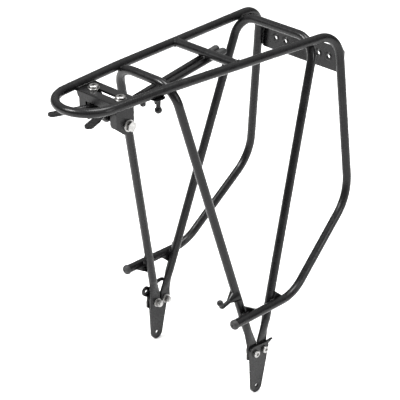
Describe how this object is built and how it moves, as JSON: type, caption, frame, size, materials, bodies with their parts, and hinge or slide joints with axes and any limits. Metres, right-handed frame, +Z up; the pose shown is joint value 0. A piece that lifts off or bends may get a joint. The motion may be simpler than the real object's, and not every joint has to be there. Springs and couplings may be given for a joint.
{
  "type": "bicycle rear rack",
  "caption": "Welded steel-tube bicycle rear rack with a tapered load platform, lower pannier rails, drilled rear light plate, bolted feet and adjustable front stays.",
  "frame": {"origin": "midway between the two foot eyelets, on the line through both", "axes": "+X forward along the bicycle, +Y to the bicycle's left along the eyelets' common axis, +Z up"},
  "size_m": [0.3617, 0.185, 0.3943],
  "materials": {
    "powder_coat": "satin black powder coat",
    "stainless": "stainless steel",
    "cap_plastic": "matt black plastic"
  },
  "bodies": {
    "frame": {"bungee_loop": "powder_coat", "front_bracket": "powder_coat", "front_hoop": "powder_coat", "left_ear_bolt": "stainless", "left_ear_nut": "stainless", "left_ear_washer": "stainless", "left_foot_bolts": "stainless", "left_foot_nuts": "stainless", "left_foot_plate": "powder_coat", "left_foot_washers": "stainless", "left_rail_end_cap": "cap_plastic", "light_plate": "powder_coat", "lower_hook": "powder_coat", "main_rail": "powder_coat", "mid_cross_tube": "powder_coat", "pump_peg": "powder_coat", "rail_spacers": "powder_coat", "rail_stud": "powder_coat", "rear_hoop": "powder_coat", "right_ear_bolt": "stainless", "right_ear_nut": "stainless", "right_ear_washer": "stainless", "right_foot_bolts": "stainless", "right_foot_nuts": "stainless", "right_foot_plate": "powder_coat", "right_foot_washers": "stainless", "right_rail_end_cap": "cap_plastic"},
    "left_carriage": {"left_clamp_bolt": "stainless", "left_clamp_washer": "stainless"},
    "left_clamp": {"left_clamp_block": "powder_coat", "left_clamp_lock_screw": "stainless"},
    "left_stay_rod": {"left_stay": "powder_coat", "left_stay_cap": "cap_plastic"},
    "right_carriage": {"right_clamp_bolt": "stainless", "right_clamp_washer": "stainless"},
    "right_clamp": {"right_clamp_block": "powder_coat", "right_clamp_lock_screw": "stainless"},
    "right_stay_rod": {"right_stay": "powder_coat", "right_stay_cap": "cap_plastic"}
  },
  "joints": [
    {"name": "left_clamp_slide", "type": "slide", "parent": "frame", "child": "left_carriage", "axis": [0, 1, 0], "range_m": [-0.0003, 0.0004]},
    {"name": "left_clamp_swivel", "type": "hinge", "parent": "left_carriage", "child": "left_clamp", "pos_m": [0.1407, 0.0203, 0.37], "axis": [0, 0, 1], "range_deg": [-8, 0]},
    {"name": "left_stay_slide", "type": "slide", "parent": "left_clamp", "child": "left_stay_rod", "axis": [0.9921, 0.0764, -0.0992], "range_m": [-0.0015, 0.012]},
    {"name": "right_clamp_slide", "type": "slide", "parent": "frame", "child": "right_carriage", "axis": [0, 1, 0], "range_m": [-0.0002, 0.0003]},
    {"name": "right_clamp_swivel", "type": "hinge", "parent": "right_carriage", "child": "right_clamp", "pos_m": [0.1407, -0.0203, 0.37], "axis": [0, 0, 1], "range_deg": [0, 8]},
    {"name": "right_stay_slide", "type": "slide", "parent": "right_clamp", "child": "right_stay_rod", "axis": [0.9586, -0.2831, 0.03], "range_m": [-0.004, 0.005]}
  ]
}
